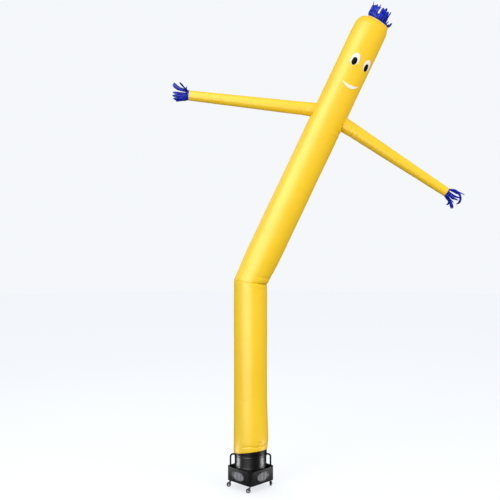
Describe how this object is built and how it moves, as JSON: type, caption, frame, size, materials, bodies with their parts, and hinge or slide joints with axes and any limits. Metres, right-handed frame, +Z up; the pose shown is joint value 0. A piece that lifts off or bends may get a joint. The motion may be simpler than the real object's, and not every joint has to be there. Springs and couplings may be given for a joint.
{
  "type": "inflatable air dancer with blower base",
  "caption": "Inflated nylon tube figure with a bend, two arms, a smiling face and blue streamers, standing on a square fan base on swivel casters.",
  "frame": {"origin": "on the ground, under the middle of the whole figure's box", "axes": "+Z up; the face looks along -Y, and the tube leans towards +X, the viewer's right"},
  "size_m": [3.9519, 0.612, 6.6293],
  "materials": {
    "yellow_nylon": "thin coated nylon with a soft sheen",
    "blue_nylon": "thin coated nylon with a soft sheen",
    "white_nylon": "smooth sewn patch",
    "black_nylon": "smooth sewn patch",
    "housing_plastic": "finely textured moulding",
    "barrel_plastic": "satin moulding",
    "black_plastic": "plain moulding",
    "grille_plastic": "plain moulding",
    "handle_paint": "satin black paint",
    "zinc_steel": "bright zinc",
    "caster_rubber": "matt tread"
  },
  "bodies": {
    "dancer_on_blower": {"leg_sleeve_low": "yellow_nylon", "leg_sleeve_middle": "yellow_nylon", "leg_sleeve_high": "yellow_nylon", "body_sleeve_low": "yellow_nylon", "body_sleeve_waist": "yellow_nylon", "body_sleeve_middle": "yellow_nylon", "body_sleeve_chest": "yellow_nylon", "body_sleeve_head": "yellow_nylon", "arm_left": "yellow_nylon", "arm_right": "yellow_nylon", "hair_fringe": "blue_nylon", "hand_fringe_left": "blue_nylon", "hand_fringe_right": "blue_nylon", "eye_white_left": "white_nylon", "eye_white_right": "white_nylon", "pupil_left": "black_nylon", "pupil_right": "black_nylon", "smile": "white_nylon", "base_housing": "housing_plastic", "intake_grille_1": "grille_plastic", "intake_grille_2": "grille_plastic", "intake_grille_3": "grille_plastic", "intake_grille_4": "grille_plastic", "outlet_barrel": "barrel_plastic", "outlet_collar": "black_plastic", "barrel_clip_1": "black_plastic", "barrel_clip_2": "black_plastic", "barrel_clip_3": "black_plastic", "barrel_clip_4": "black_plastic", "handle_left": "handle_paint", "handle_right": "handle_paint"},
    "fork_front": {"caster_fork_front": "zinc_steel"},
    "fork_right": {"caster_fork_right": "zinc_steel"},
    "fork_back": {"caster_fork_back": "zinc_steel"},
    "fork_left": {"caster_fork_left": "zinc_steel"},
    "wheel_front": {"caster_wheel_front": "caster_rubber"},
    "wheel_right": {"caster_wheel_right": "caster_rubber"},
    "wheel_back": {"caster_wheel_back": "caster_rubber"},
    "wheel_left": {"caster_wheel_left": "caster_rubber"}
  },
  "joints": [
    {"name": "swivel_front", "type": "hinge", "parent": "dancer_on_blower", "child": "fork_front", "pos_m": [-0.898, -0.268, 0.09], "axis": [0, 0, 1], "continuous": true},
    {"name": "swivel_right", "type": "hinge", "parent": "dancer_on_blower", "child": "fork_right", "pos_m": [-0.63, 0, 0.09], "axis": [0, 0, 1], "continuous": true},
    {"name": "swivel_back", "type": "hinge", "parent": "dancer_on_blower", "child": "fork_back", "pos_m": [-0.898, 0.268, 0.09], "axis": [0, 0, 1], "continuous": true},
    {"name": "swivel_left", "type": "hinge", "parent": "dancer_on_blower", "child": "fork_left", "pos_m": [-1.166, 0, 0.09], "axis": [0, 0, 1], "continuous": true},
    {"name": "spin_front", "type": "hinge", "parent": "fork_front", "child": "wheel_front", "pos_m": [-0.92771, -0.27218, 0.031], "axis": [0.1392, -0.9903, 0], "continuous": true},
    {"name": "spin_right", "type": "hinge", "parent": "fork_right", "child": "wheel_right", "pos_m": [-0.62073, 0.02853, 0.031], "axis": [-0.9511, 0.309, 0], "continuous": true},
    {"name": "spin_back", "type": "hinge", "parent": "fork_back", "child": "wheel_back", "pos_m": [-0.86981, 0.27826, 0.031], "axis": [-0.342, 0.9397, 0], "continuous": true},
    {"name": "spin_left", "type": "hinge", "parent": "fork_left", "child": "wheel_left", "pos_m": [-1.19319, -0.01268, 0.031], "axis": [0.4226, -0.9063, 0], "continuous": true}
  ]
}
